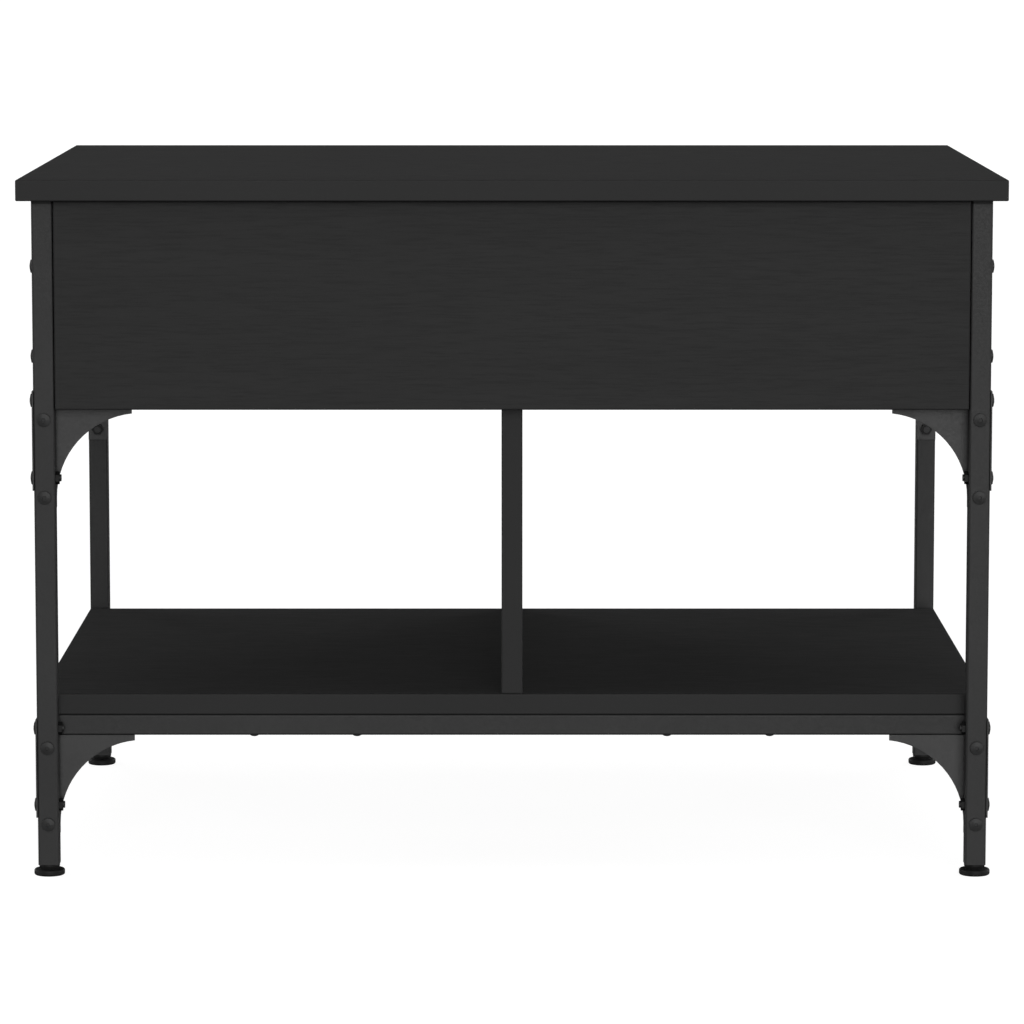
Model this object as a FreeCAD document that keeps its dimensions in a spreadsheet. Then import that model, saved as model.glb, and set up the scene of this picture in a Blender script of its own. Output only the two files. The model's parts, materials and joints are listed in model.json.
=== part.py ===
import FreeCAD
import Part

import math
import os
import re

import Sketcher
from FreeCAD import Placement, Rotation, Vector

# Lift-top coffee table: square steel tube legs, two tube frames, black boards, a storage box under a top
# that rises and comes forward on two pairs of parallel arms.
# Frame of reference: +Z up, +X right, the front faces -Y, origin on the floor under the middle of the table.
# Lengths are in millimetres and angles in degrees.

DIMENSIONS = [
    # whole table
    ("top_width", 700, "table top, left to right"),
    ("top_depth", 500, "table top, front to back"),
    ("table_height", 500, "floor to the upper face of the closed top"),
    ("board_thickness", 15, "every board"),
    ("edge_round", 1, "rounding of the board edges"),
    ("lid_gap", 0.5, "room between the closed top and the box it covers"),
    ("leg_inset", 10, "edge of the top to the outer face of a leg"),
    # square tube
    ("tube_size", 15, "outer width of the square tube"),
    ("tube_wall", 1.2, "wall of the square tube"),
    ("tube_round", 1.5, "outer corner radius of the square tube"),
    ("lower_rail_height", 100, "floor to the underside of the lower frame"),
    ("frame_step", 236, "lower frame to upper frame"),
    # feet and leg caps
    ("foot_height", 8, "floor to the lower end of a leg tube"),
    ("foot_disc_height", 4.5, "thickness of the foot disc"),
    ("foot_radius", 11, "radius of the foot disc"),
    ("foot_edge", 1.4, "rounding of the foot disc"),
    ("foot_shoulder", 7.5, "radius of the shoulder that closes the tube"),
    ("foot_shoulder_height", 1.2, "height of the shoulder's straight rim"),
    ("foot_waist", 6.7, "radius of the foot just above the disc"),
    ("foot_plug", 6.2, "radius of the plug in the tube"),
    ("plug_depth", 12, "how far a foot or a cap reaches into the tube"),
    ("plug_slack", 0.1, "room around a plug"),
    ("cap_flange", 2, "thickness of the cap on top of a leg"),
    # boards
    ("shelf_side_gap", 1, "side of the frame to the side of the shelf"),
    ("shelf_short", 12.5, "how far the shelf stops short of the rear of the frame"),
    ("box_side_gap", 1.5, "side of the frame to the outer face of the box sides"),
    ("panel_gap", 0.4, "end of the box front or back to the leg beside it"),
    ("panel_lift", 0.3, "underside of the frame to the lower edge of the box front or back"),
    # arched corner plates
    ("gusset_thickness", 1, "sheet thickness"),
    ("gusset_reach", 69, "length along the rail, from the outer face of the leg"),
    ("gusset_drop", 71, "height along the leg"),
    ("gusset_tip", 3.9, "height of the plate at its tip"),
    ("gusset_arch", 60.5, "radius of the arch"),
    ("gusset_hole_upper", 7, "top of the plate to the upper bolt"),
    ("gusset_hole_lower", 62.5, "top of the plate to the lower bolt"),
    ("side_plate_drop", 1.5, "top of a side rail down to the top of the plates on it"),
    # fasteners
    ("hole_slack", 0.1, "radial room around a fastener"),
    ("bolt_radius", 2.5, "leg bolts and panel screws"),
    ("bolt_length", 20, "leg bolt under its head"),
    ("bolt_head_radius", 4.75, "leg bolt and panel screw head"),
    ("bolt_head_height", 2, "leg bolt and panel screw head"),
    ("head_edge", 1.3, "height of the rim of a domed head"),
    ("head_round", 0.4, "rounding of the rim"),
    ("socket_radius", 1.73, "corner radius of the hexagon socket"),
    ("socket_depth", 1.2, "depth of the hexagon socket"),
    ("nut_radius", 4.62, "corner radius of the hexagon nut"),
    ("nut_height", 2.7, "thin hexagon nut"),
    ("screw_tip", 3, "cone at the end of a screw"),
    ("panel_screw_length", 40, "screw through a leg into the end of a box panel"),
    ("panel_screw_middle", 374, "floor to the middle panel screw"),
    ("panel_screw_upper", 438, "floor to the upper panel screw"),
    ("rail_screw_length", 26, "screw through a rail into the board on it"),
    ("rail_screw_radius", 2, "rail screw"),
    ("rail_head_radius", 3, "rail screw head"),
    ("rail_screw_inner", 111.5, "middle of the table to the inner rail screws"),
    ("rail_screw_outer", 185.4, "middle of the table to the outer rail screws"),
    ("rail_screw_side", 150, "middle of the table back to the side rail screws"),
    ("bracket_screw_length", 14, "screw that holds a lift bracket"),
    ("bracket_screw_radius", 1.75, "bracket screw"),
    ("bracket_head_radius", 3.6, "bracket screw head"),
    ("pilot_depth", 12.5, "blind hole for a screw or half a dowel in a board"),
    ("panel_pilot_depth", 26, "blind hole in the end of a box panel"),
    ("dowel_radius", 3, "wooden dowel"),
    ("dowel_length", 24, "wooden dowel"),
    ("dowel_spread", 150, "middle of the table to the box dowels and to the divider's front dowel"),
    ("divider_dowel_rear", 140, "middle of the table back to the rear dowel of the divider"),
    # lift mechanism, one set at each side of the box
    ("rear_pivot_forward", 105, "middle of the table forward to the rear arm's base pivot"),
    ("rear_pivot_height", 398, "floor to the rear arm's base pivot"),
    ("pivot_step_forward", 44.1, "rear pivot forward to the front pivot"),
    ("pivot_step_up", 23.5, "rear pivot up to the front pivot"),
    ("arm_length", 190, "pivot to pivot"),
    ("arm_width", 20, "width of an arm"),
    ("arm_boss", 11, "radius of an arm's round ends"),
    ("arm_thickness", 4, "sheet thickness of an arm"),
    ("rest_angle", 8, "arms above the horizontal, pointing back, top closed"),
    ("open_angle", 110, "arms above the horizontal, measured from the back, top raised"),
    ("bracket_thickness", 2.5, "sheet thickness of the brackets"),
    ("bracket_margin", 14, "bracket edge beyond a pivot"),
    ("bracket_corner", 6, "rounding of the bracket corners"),
    ("base_flange_width", 32, "base bracket flange, from the side panel inwards"),
    ("base_bracket_rear", 70, "rear pivot to the rear end of the base bracket"),
    ("base_bracket_lip", 20, "height of the base bracket at its rear end"),
    ("top_flange_width", 29, "top bracket flange"),
    ("top_bracket_half", 100, "half of the top bracket's length"),
    ("top_bracket_lip", 10, "height of the top bracket at its ends"),
    ("pin_radius", 4, "pivot pins and rivets"),
    ("pin_fit", 0.06, "radial room around a pin"),
    ("pin_head_radius", 7, "head of a pin or rivet"),
    ("pin_head", 1.8, "height of a pin or rivet head"),
    ("rivet_button", 6, "radius of a rivet's formed end"),
    ("washer_radius", 9, "nylon washer"),
    ("washer_thickness", 0.8, "nylon washer"),
    ("play", 0.1, "side play at each face of an arm or washer"),
    ("stop_distance", 30, "front pivot to the stop pin, along the raised arm"),
    ("stop_radius", 4, "stop pin"),
    ("stop_shank", 3, "radius of the stop pin in its bracket"),
    ("stop_length", 5.5, "stop pin beyond the base bracket"),
    ("stop_room", 0.3, "raised arm to the stop pin"),
    ("spring_wire", 1.6, "radius of the spring wire"),
    ("spring_radius", 12, "radius of the coil, to the middle of the wire"),
    ("spring_pitch", 3.6, "spring turn to turn"),
    ("spring_turns", 4, "whole turns of the coil"),
    ("spring_reach", 40, "rear pivot to the spring's hole in the arm"),
    ("spring_tang", 5.9, "spring end bent through the arm"),
    ("spring_bend", 2.6, "bend radius of the spring wire"),
    ("spring_room", 0.4, "arm to the spring's leg"),
    ("spring_foot_forward", 26, "rear pivot forward to the spring's fixed end"),
    ("spring_foot_down", 28.6, "rear pivot down to the spring's fixed end"),
    ("bush_radius", 8.5, "nylon bush inside the spring"),
    ("bush_length", 20.9, "nylon bush inside the spring"),
]

doc = FreeCAD.newDocument("lift_top_coffee_table")
dims = doc.addObject("Spreadsheet::Sheet", "dims")
for row, (alias, size, meaning) in enumerate(DIMENSIONS, start=1):
    dims.set(f"A{row}", alias)
    dims.set(f"B{row}", str(size))
    dims.set(f"C{row}", meaning)
    dims.setAlias(f"B{row}", alias)
doc.recompute()
ALIASES = {alias for alias, _, _ in DIMENSIONS}


# --- expressions on the sheet ---------------------------------------------------------------------------

def cells(text):
    """The expression with every alias pointed at its cell."""
    return re.sub(r"[a-z_]+", lambda word: f"dims.{word[0]}" if word[0] in ALIASES else word[0], str(text))


def number(text):
    return float(dims.evalExpression(cells(text)))


def bind(thing, path, text):
    thing.setExpression(path, cells(text))


# Places worked out from the sheet, as expressions.
LEG_X = "(top_width / 2 - leg_inset - tube_size / 2)"
LEG_Y = "(top_depth / 2 - leg_inset - tube_size / 2)"
FRAME_X = "(top_width / 2 - leg_inset)"
FRAME_Y = "(top_depth / 2 - leg_inset - tube_size)"
RAIL_Y = f"({FRAME_Y} - tube_size / 2)"
LOWER = "lower_rail_height"
UPPER = "(lower_rail_height + frame_step)"
BOX_FLOOR = f"({UPPER} + tube_size + board_thickness)"
LID_UNDERSIDE = "(table_height - board_thickness)"
BOX_RIM = f"({LID_UNDERSIDE} - lid_gap)"
SIDE_PANEL_X = f"({FRAME_X} - box_side_gap - board_thickness / 2)"
BOX_INNER_X = f"({SIDE_PANEL_X} - board_thickness / 2)"
SHELF_Y = "(-shelf_short / 2)"
DIVIDER_Y = "(-tube_size / 2)"
BOLT_HOLE = "(bolt_radius + hole_slack)"
RAIL_HOLE = "(rail_screw_radius + hole_slack)"
BRACKET_HOLE = "(bracket_screw_radius + hole_slack)"
DOWEL_HOLE = "(dowel_radius + hole_slack)"
PIN_HOLE = "(pin_radius + pin_fit)"

# Tops of the corner plates. A plate on the front or back stands just behind the rail's rounded corner and
# rises until it touches it.
PLATE_SEAT = "(tube_round - sqrt(tube_round^2 - (tube_round - gusset_thickness)^2))"
FACE_PLATE_TOPS = {"lower": f"({LOWER} + {PLATE_SEAT})", "upper": f"({UPPER} + {PLATE_SEAT})"}
SIDE_PLATE_TOPS = {"lower": f"({LOWER} + tube_size - side_plate_drop)",
                   "upper": f"({UPPER} + tube_size - side_plate_drop)"}

# Heights of the bolts through the corner plates, and of the screws into the ends of the box panels.
FACE_BOLTS = [f"({top} - {drop})" for top in FACE_PLATE_TOPS.values()
              for drop in ("gusset_hole_upper", "gusset_hole_lower")]
SIDE_BOLTS = [f"({top} - {drop})" for top in SIDE_PLATE_TOPS.values()
              for drop in ("gusset_hole_upper", "gusset_hole_lower")]
PLATE_PANEL_SCREW = f"({SIDE_PLATE_TOPS['upper']} - gusset_hole_upper)"
NUTTED_SIDE_BOLTS = [height for height in SIDE_BOLTS if height != PLATE_PANEL_SCREW]
PANEL_SCREWS = [PLATE_PANEL_SCREW, "panel_screw_middle", "panel_screw_upper"]

# Lift pivots, seen from the side: (Y, Z).
REAR_PIVOT = ("(-rear_pivot_forward)", "rear_pivot_height")
FRONT_PIVOT = ("(-rear_pivot_forward - pivot_step_forward)", "(rear_pivot_height + pivot_step_up)")
REAR_TOP_PIVOT = (f"({REAR_PIVOT[0]} + arm_length * cos(rest_angle))",
                  f"({REAR_PIVOT[1]} + arm_length * sin(rest_angle))")
FRONT_TOP_PIVOT = (f"({FRONT_PIVOT[0]} + arm_length * cos(rest_angle))",
                   f"({FRONT_PIVOT[1]} + arm_length * sin(rest_angle))")
STOP_OFFSET = "(arm_width / 2 + stop_radius + stop_room)"
STOP_PIN = (f"({FRONT_PIVOT[0]} + stop_distance * cos(open_angle) - {STOP_OFFSET} * sin(open_angle))",
            f"({FRONT_PIVOT[1]} + stop_distance * sin(open_angle) + {STOP_OFFSET} * cos(open_angle))")

# Lift layers, from the inner face of a side panel inwards.
WASHER_LAYER = "(washer_thickness + 2 * play)"
ARM_OUTER = f"(bracket_thickness + {WASHER_LAYER})"
ARM_INNER = f"({ARM_OUTER} + arm_thickness)"
TOP_BRACKET_OUTER = f"({ARM_INNER} + {WASHER_LAYER})"
TOP_BRACKET_INNER = f"({TOP_BRACKET_OUTER} + bracket_thickness)"

# Screws of the lift brackets, back from the rear pivot: through the base bracket's flange, through its plate
# (with the height above the box floor), and through the top bracket's flange.
BASE_SCREWS = ("(-66)", "20", "57")
BASE_SIDE_SCREWS = (("(-68)", "20"), ("44", "11"))
TOP_SCREWS = ("(-82)", "(-30)", "30", "82")
DIVIDER_DOWELS = ("(-dowel_spread)", "divider_dowel_rear")


# --- building blocks ------------------------------------------------------------------------------------

def make_body(name):
    body = doc.addObject("PartDesign::Body", name)
    body.Label = name
    return body


def origin_plane(body, role):
    return next(plane for plane in body.Origin.OriginFeatures if plane.Role == role)


def new_sketch(body, role, offset="0"):
    """A sketch parallel to an origin plane; the offset is measured along the plane's positive axis."""
    sketch = body.newObject("Sketcher::SketchObject", f"{body.Name}_sketch")
    sketch.AttachmentSupport = [(origin_plane(body, role), "")]
    sketch.MapMode = "FlatFace"
    along_normal = f"-({offset})" if role == "XZ_Plane" else offset
    bind(sketch, "AttachmentOffset.Base.z", along_normal)
    return sketch


def lock(sketch, geometry, point, x, y):
    """Fixes a point of the sketch at a place given by two expressions."""
    for kind, text, axis in (("DistanceX", x, -2), ("DistanceY", y, -1)):
        if abs(number(text)) < 1e-9:
            sketch.addConstraint(Sketcher.Constraint("PointOnObject", geometry, point, axis))
            continue
        index = sketch.addConstraint(Sketcher.Constraint(kind, -1, 1, geometry, point, number(text)))
        bind(sketch, f"Constraints[{index}]", text)


def arc_between(start, end, radius):
    """The arc from start to end that turns to the left."""
    chord = end - start
    half = chord.Length / 2
    to_centre = Vector(-chord.y, chord.x, 0).normalize() * math.sqrt(radius**2 - half**2)
    centre = (start + end) / 2 + to_centre
    first = math.atan2(start.y - centre.y, start.x - centre.x)
    last = math.atan2(end.y - centre.y, end.x - centre.x)
    return Part.ArcOfCircle(Part.Circle(centre, Vector(0, 0, 1), radius), first, last)


def draw_outline(sketch, corners, arcs=None):
    """A closed outline. arcs maps a corner's number to the radius of the left-turning arc that leaves it."""
    arcs = arcs or {}
    spots = [Vector(number(x), number(y), 0) for x, y in corners]
    sides = []
    for index, start in enumerate(spots):
        end = spots[(index + 1) % len(spots)]
        if index in arcs:
            side = arc_between(start, end, number(arcs[index]))
        else:
            side = Part.LineSegment(start, end)
        sides.append(sketch.addGeometry(side, False))
    for index, side in enumerate(sides):
        sketch.addConstraint(Sketcher.Constraint("Coincident", sides[index - 1], 2, side, 1))
        lock(sketch, side, 1, *corners[index])
        if index in arcs:
            radius = sketch.addConstraint(Sketcher.Constraint("Radius", side, number(arcs[index])))
            bind(sketch, f"Constraints[{radius}]", arcs[index])


def draw_rectangle(sketch, low, high):
    draw_outline(sketch, [low, (high[0], low[1]), high, (low[0], high[1])])


def draw_circles(sketch, circles):
    for x, y, radius in circles:
        circle = Part.Circle(Vector(number(x), number(y), 0), Vector(0, 0, 1), number(radius))
        geometry = sketch.addGeometry(circle, False)
        lock(sketch, geometry, 3, x, y)
        index = sketch.addConstraint(Sketcher.Constraint("Radius", geometry, number(radius)))
        bind(sketch, f"Constraints[{index}]", radius)


def pad(body, sketch, length, backwards=False):
    feature = body.newObject("PartDesign::Pad", f"{body.Name}_pad")
    feature.Profile = sketch
    feature.Reversed = backwards
    bind(feature, "Length", length)
    doc.recompute()
    return feature


def pocket(body, role, start, depth, draw):
    """Cuts what draw(sketch) draws, from start along the positive axis of the plane, to the depth."""
    before = body.Shape.Volume
    sketch = new_sketch(body, role, start)
    draw(sketch)
    feature = body.newObject("PartDesign::Pocket", f"{body.Name}_pocket")
    feature.Profile = sketch
    feature.Reversed = role != "XZ_Plane"
    bind(feature, "Length", depth)
    doc.recompute()
    if body.Shape.Volume > before - 1:
        raise RuntimeError(f"a pocket of {body.Label} cuts nothing")
    return feature


def drill(body, role, start, depth, circles):
    return pocket(body, role, start, depth, lambda sketch: draw_circles(sketch, circles))


def round_edges(body, radius, wanted):
    """Rounds the edges of the body's last feature for which wanted(edge) is true."""
    base = body.Tip
    names = [f"Edge{index}" for index, edge in enumerate(base.Shape.Edges, start=1) if wanted(edge)]
    feature = body.newObject("PartDesign::Fillet", f"{body.Name}_fillet")
    feature.Base = (base, names)
    bind(feature, "Radius", radius)
    doc.recompute()
    return feature


def runs_along(edge, axis):
    step = edge.valueAt(edge.LastParameter) - edge.valueAt(edge.FirstParameter)
    return step.Length > 0 and abs(step.normalize().dot(axis)) > 0.999


def put(thing, place, rotation=None):
    """Places a sub-part: the turn is fixed, and each coordinate follows its expression."""
    spot = Vector(*(number(text) for text in place))
    thing.Placement = Placement(spot, rotation or Rotation())
    for axis, text in zip("xyz", place):
        bind(thing, f"Placement.Base.{axis}", text)
    return thing


def turned(name, profile, arcs=None):
    """A turned piece: the profile is (radius, height) about the body's Z axis."""
    body = make_body(name)
    sketch = new_sketch(body, "XZ_Plane")
    draw_outline(sketch, profile, arcs)
    feature = body.newObject("PartDesign::Revolution", f"{name}_revolution")
    feature.Profile = sketch
    feature.ReferenceAxis = (sketch, ["V_Axis"])
    feature.Angle = 360
    doc.recompute()
    return body


def group(name, master, places):
    """One sub-part made of several copies of a small piece. places holds (place, rotation) pairs."""
    copies = []
    for place, rotation in places:
        copy = doc.addObject("App::Link", f"{name}_copy")
        copy.LinkedObject = master
        copies.append(put(copy, place, rotation))
    compound = doc.addObject("Part::Compound", name)
    compound.Links = copies
    return finished(compound, name)


SUB_PARTS = []


def finished(thing, name):
    """Names a sub-part and takes it into the list of pieces to export."""
    thing.Label = name
    SUB_PARTS.append(thing)
    return thing


def facing(x, y, z):
    """The turn that points a piece's Z axis the given way."""
    return Rotation(Vector(0, 0, 1), Vector(x, y, z))


def axes(x_axis, y_axis):
    """The turn that lays a piece's X and Y axes along two given directions."""
    first, second = Vector(*x_axis), Vector(*y_axis)
    return Rotation(first, second, first.cross(second), "ZXY")


# --- tube frame -----------------------------------------------------------------------------------------

def tube(name, length):
    """A square tube along the body's Z axis, starting at its origin."""
    body = make_body(name)
    sketch = new_sketch(body, "XY_Plane")
    half = "tube_size / 2"
    draw_rectangle(sketch, (f"-{half}", f"-{half}"), (half, half))
    pad(body, sketch, length)
    round_edges(body, "tube_round", lambda edge: runs_along(edge, Vector(0, 0, 1)))
    bore = "(tube_size / 2 - tube_wall)"
    pocket(body, "XY_Plane", "0", length,
           lambda sketch: draw_rectangle(sketch, (f"-{bore}", f"-{bore}"), (bore, bore)))
    return body


def through_tube(body, role, heights, radius):
    """Holes through both walls of a tube, at the given distances from its start."""
    drill(body, role, "-tube_size", "2 * tube_size", [("0", height, radius) for height in heights])


CORNERS = [(f"{end}_{side}", sign_x, sign_y)
           for end, sign_y in (("front", -1), ("back", 1))
           for side, sign_x in (("left", -1), ("right", 1))]


def build_legs():
    for corner, sign_x, sign_y in CORNERS:
        leg = tube(f"leg_{corner}", f"{BOX_RIM} - cap_flange - foot_height")
        face_holes = [f"{height} - foot_height" for height in FACE_BOLTS]
        side_holes = [f"{height} - foot_height" for height in NUTTED_SIDE_BOLTS + PANEL_SCREWS]
        through_tube(leg, "XZ_Plane", face_holes, BOLT_HOLE)
        through_tube(leg, "YZ_Plane", side_holes, BOLT_HOLE)
        put(leg, (f"{sign_x} * {LEG_X}", f"{sign_y} * {LEG_Y}", "foot_height"))
        finished(leg, leg.Label)


def build_feet():
    profile = [
        ("0", "0"),
        ("foot_radius - foot_edge", "0"),
        ("foot_radius", "foot_edge"),
        ("foot_radius", "foot_disc_height - foot_edge"),
        ("foot_radius - foot_edge", "foot_disc_height"),
        ("foot_waist", "foot_disc_height"),
        ("foot_shoulder", "foot_height - foot_shoulder_height"),
        ("foot_shoulder", "foot_height"),
        ("foot_plug", "foot_height"),
        ("foot_plug", "foot_height + plug_depth"),
        ("0", "foot_height + plug_depth"),
    ]
    rims = {1: "foot_edge", 3: "foot_edge"}
    for corner, sign_x, sign_y in CORNERS:
        foot = turned(f"foot_{corner}", profile, rims)
        put(foot, (f"{sign_x} * {LEG_X}", f"{sign_y} * {LEG_Y}", "0"))
        finished(foot, foot.Label)


def build_leg_caps():
    cap = make_body("leg_cap_master")
    flange = new_sketch(cap, "XY_Plane")
    half = "tube_size / 2"
    draw_rectangle(flange, (f"-{half}", f"-{half}"), (half, half))
    pad(cap, flange, "cap_flange")
    round_edges(cap, "tube_round", lambda edge: runs_along(edge, Vector(0, 0, 1)))
    plug = new_sketch(cap, "XY_Plane")
    inner = "(tube_size / 2 - tube_wall - plug_slack)"
    draw_rectangle(plug, (f"-{inner}", f"-{inner}"), (inner, inner))
    pad(cap, plug, "plug_depth", backwards=True)
    places = [((f"{sign_x} * {LEG_X}", f"{sign_y} * {LEG_Y}", f"{BOX_RIM} - cap_flange"), None)
              for _, sign_x, sign_y in CORNERS]
    group("leg_caps", cap, places)


def build_rails():
    long_rail = f"2 * {FRAME_X}"
    short_rail = f"(2 * {FRAME_Y} - 2 * tube_size)"
    screws = [f"{FRAME_X} + {side} * {reach}"
              for side in (-1, 1) for reach in ("rail_screw_inner", "rail_screw_outer")]
    for level, base in (("lower", LOWER), ("upper", UPPER)):
        height = f"{base} + tube_size / 2"
        for end, sign in (("front", -1), ("back", 1)):
            rail = tube(f"{level}_{end}_rail", long_rail)
            if (level, end) != ("lower", "back"):
                through_tube(rail, "YZ_Plane", screws, RAIL_HOLE)
            put(rail, (f"-{FRAME_X}", f"{sign} * {RAIL_Y}", height), Rotation(Vector(0, 1, 0), 90))
            finished(rail, rail.Label)
        for side, sign in (("left", -1), ("right", 1)):
            rail = tube(f"{level}_{side}_rail", short_rail)
            if level == "lower":
                through_tube(rail, "XZ_Plane", [f"{short_rail} / 2 + rail_screw_side"], RAIL_HOLE)
            place = (f"{sign} * {LEG_X}", f"-{short_rail} / 2", height)
            put(rail, place, Rotation(Vector(1, 0, 0), -90))
            finished(rail, rail.Label)


def gusset_master():
    """The arched plate: X runs along the rail from the leg's outer face, Y up, Z through the sheet."""
    plate = make_body("gusset_master")
    sketch = new_sketch(plate, "XY_Plane")
    spring_line = "(gusset_tip + sqrt(gusset_arch^2 - (tube_size + gusset_arch - gusset_reach)^2))"
    corners = [
        ("0", "0"),
        ("gusset_reach", "0"),
        ("gusset_reach", "-gusset_tip"),
        ("tube_size", f"-{spring_line}"),
        ("tube_size", "-gusset_drop"),
        ("0", "-gusset_drop"),
    ]
    draw_outline(sketch, corners, {2: "gusset_arch"})
    pad(plate, sketch, "gusset_thickness")
    holes = [("tube_size / 2", f"-{drop}", BOLT_HOLE) for drop in ("gusset_hole_upper", "gusset_hole_lower")]
    drill(plate, "XY_Plane", "-gusset_thickness", "3 * gusset_thickness", holes)
    return plate


def build_gussets():
    plate = gusset_master()
    up = (0, 0, 1)
    for level in ("lower", "upper"):
        top = FACE_PLATE_TOPS[level]
        for end, sign_y in (("front", -1), ("back", 1)):
            outer = FRAME_Y if sign_y < 0 else f"({FRAME_Y} - gusset_thickness)"
            inner = f"({FRAME_Y} - gusset_thickness)" if sign_y < 0 else FRAME_Y
            places = [
                ((FRAME_X, f"{sign_y} * {outer}", top), axes((-1, 0, 0), up)),
                ((f"-{FRAME_X}", f"{sign_y} * {inner}", top), axes((1, 0, 0), up)),
            ]
            group(f"{level}_{end}_gussets", plate, places)
        top = SIDE_PLATE_TOPS[level]
        for side, sign_x in (("left", -1), ("right", 1)):
            near = f"{sign_x} * {FRAME_X}"
            far = f"{sign_x} * ({FRAME_X} + gusset_thickness)"
            edge_y = f"({FRAME_Y} + tube_size)"
            from_front, from_back = (far, near) if sign_x < 0 else (near, far)
            places = [
                ((from_front, f"-{edge_y}", top), axes((0, 1, 0), up)),
                ((from_back, edge_y, top), axes((0, -1, 0), up)),
            ]
            group(f"{level}_{side}_gussets", plate, places)


# --- boards ---------------------------------------------------------------------------------------------

def board(name, width, depth, height, place):
    """A board with rounded edges, standing on the middle of its lower face."""
    body = make_body(name)
    sketch = new_sketch(body, "XY_Plane")
    draw_rectangle(sketch, (f"-({width}) / 2", f"-({depth}) / 2"), (f"({width}) / 2", f"({depth}) / 2"))
    pad(body, sketch, height)
    round_edges(body, "edge_round", lambda edge: True)
    put(body, place)
    return finished(body, name)


def build_table_top():
    top = board("table_top", "top_width", "top_depth", "board_thickness", ("0", "0", LID_UNDERSIDE))
    flange_middle = f"({BOX_INNER_X} - {TOP_BRACKET_OUTER} - (top_flange_width + bracket_thickness) / 2)"
    holes = [(f"{side} * {flange_middle}", f"{REAR_TOP_PIVOT[0]} + {along}", BRACKET_HOLE)
             for side in (-1, 1) for along in TOP_SCREWS]
    drill(top, "XY_Plane", "0", "pilot_depth", holes)


def build_shelf():
    width = f"2 * ({FRAME_X} - shelf_side_gap)"
    depth = f"2 * {FRAME_Y} - shelf_short"
    place = ("0", SHELF_Y, f"{LOWER} + tube_size")
    shelf = board("lower_shelf", width, depth, "board_thickness", place)
    front = [(f"{side} * {reach}", f"-{RAIL_Y} - {SHELF_Y}", RAIL_HOLE)
             for side in (-1, 1) for reach in ("rail_screw_inner", "rail_screw_outer")]
    sides = [(f"{side} * {LEG_X}", f"rail_screw_side - {SHELF_Y}", RAIL_HOLE) for side in (-1, 1)]
    drill(shelf, "XY_Plane", "0", "pilot_depth", front + sides)
    dowels = [("0", f"{along} - {SHELF_Y}", DOWEL_HOLE) for along in DIVIDER_DOWELS]
    drill(shelf, "XY_Plane", "board_thickness - pilot_depth", "pilot_depth", dowels)


def build_box_bottom():
    width = f"2 * ({FRAME_X} - box_side_gap)"
    place = ("0", "0", f"{UPPER} + tube_size")
    bottom = board("box_bottom", width, f"2 * {FRAME_Y}", "board_thickness", place)
    screws = [(f"{side} * {reach}", f"{end} * {RAIL_Y}", RAIL_HOLE)
              for side in (-1, 1) for end in (-1, 1) for reach in ("rail_screw_inner", "rail_screw_outer")]
    dowels = [("0", along, DOWEL_HOLE) for along in DIVIDER_DOWELS]
    drill(bottom, "XY_Plane", "0", "pilot_depth", screws + dowels)
    side_dowels = [(f"{side} * {SIDE_PANEL_X}", f"{end} * dowel_spread", DOWEL_HOLE)
                   for side in (-1, 1) for end in (-1, 1)]
    brackets = [(f"{side} * ({BOX_INNER_X} - (base_flange_width + bracket_thickness) / 2)",
                 f"{REAR_PIVOT[0]} + {along}", BRACKET_HOLE)
                for side in (-1, 1) for along in BASE_SCREWS]
    drill(bottom, "XY_Plane", "board_thickness - pilot_depth", "pilot_depth", side_dowels + brackets)


def build_box_walls():
    width = f"2 * ({LEG_X} - tube_size / 2 - panel_gap)"
    lower_edge = f"({UPPER} + panel_lift)"
    height = f"{BOX_RIM} - {lower_edge}"
    ends = [("0", f"{screw} - {lower_edge}", BOLT_HOLE) for screw in PANEL_SCREWS]
    for name, sign in (("box_front", -1), ("box_back", 1)):
        panel = board(name, width, "board_thickness", height, ("0", f"{sign} * {LEG_Y}", lower_edge))
        drill(panel, "YZ_Plane", f"-{width} / 2", "panel_pilot_depth", ends)
        drill(panel, "YZ_Plane", f"{width} / 2 - panel_pilot_depth", "panel_pilot_depth", ends)
    for name, sign in (("box_left", -1), ("box_right", 1)):
        place = (f"{sign} * {SIDE_PANEL_X}", "0", BOX_FLOOR)
        panel = board(name, "board_thickness", f"2 * {FRAME_Y}", f"{BOX_RIM} - {BOX_FLOOR}", place)
        drill(panel, "XY_Plane", "0", "pilot_depth",
              [("0", f"{end} * dowel_spread", DOWEL_HOLE) for end in (-1, 1)])
        inner_start = "-board_thickness / 2" if sign > 0 else "board_thickness / 2 - pilot_depth"
        holes = [(f"{REAR_PIVOT[0]} + {along}", up, BRACKET_HOLE) for along, up in BASE_SIDE_SCREWS]
        drill(panel, "YZ_Plane", inner_start, "pilot_depth", holes)


def build_divider():
    depth = f"2 * {FRAME_Y} - tube_size"
    base = f"({LOWER} + tube_size + board_thickness)"
    height = f"({UPPER} + tube_size - {base})"
    divider = board("bay_divider", "board_thickness", depth, height, ("0", DIVIDER_Y, base))
    front = f"(-({depth}) / 2)"
    pocket(divider, "YZ_Plane", "-board_thickness", "2 * board_thickness",
           lambda sketch: draw_rectangle(sketch, (f"{front} - 1", f"{height} - tube_size"),
                                         (f"{front} + tube_size", f"{height} + 1")))
    dowels = [("0", f"{along} - {DIVIDER_Y}", DOWEL_HOLE) for along in DIVIDER_DOWELS]
    drill(divider, "XY_Plane", "0", "pilot_depth", dowels)
    drill(divider, "XY_Plane", f"{height} - pilot_depth", "pilot_depth", dowels)


# --- fasteners ------------------------------------------------------------------------------------------

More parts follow.
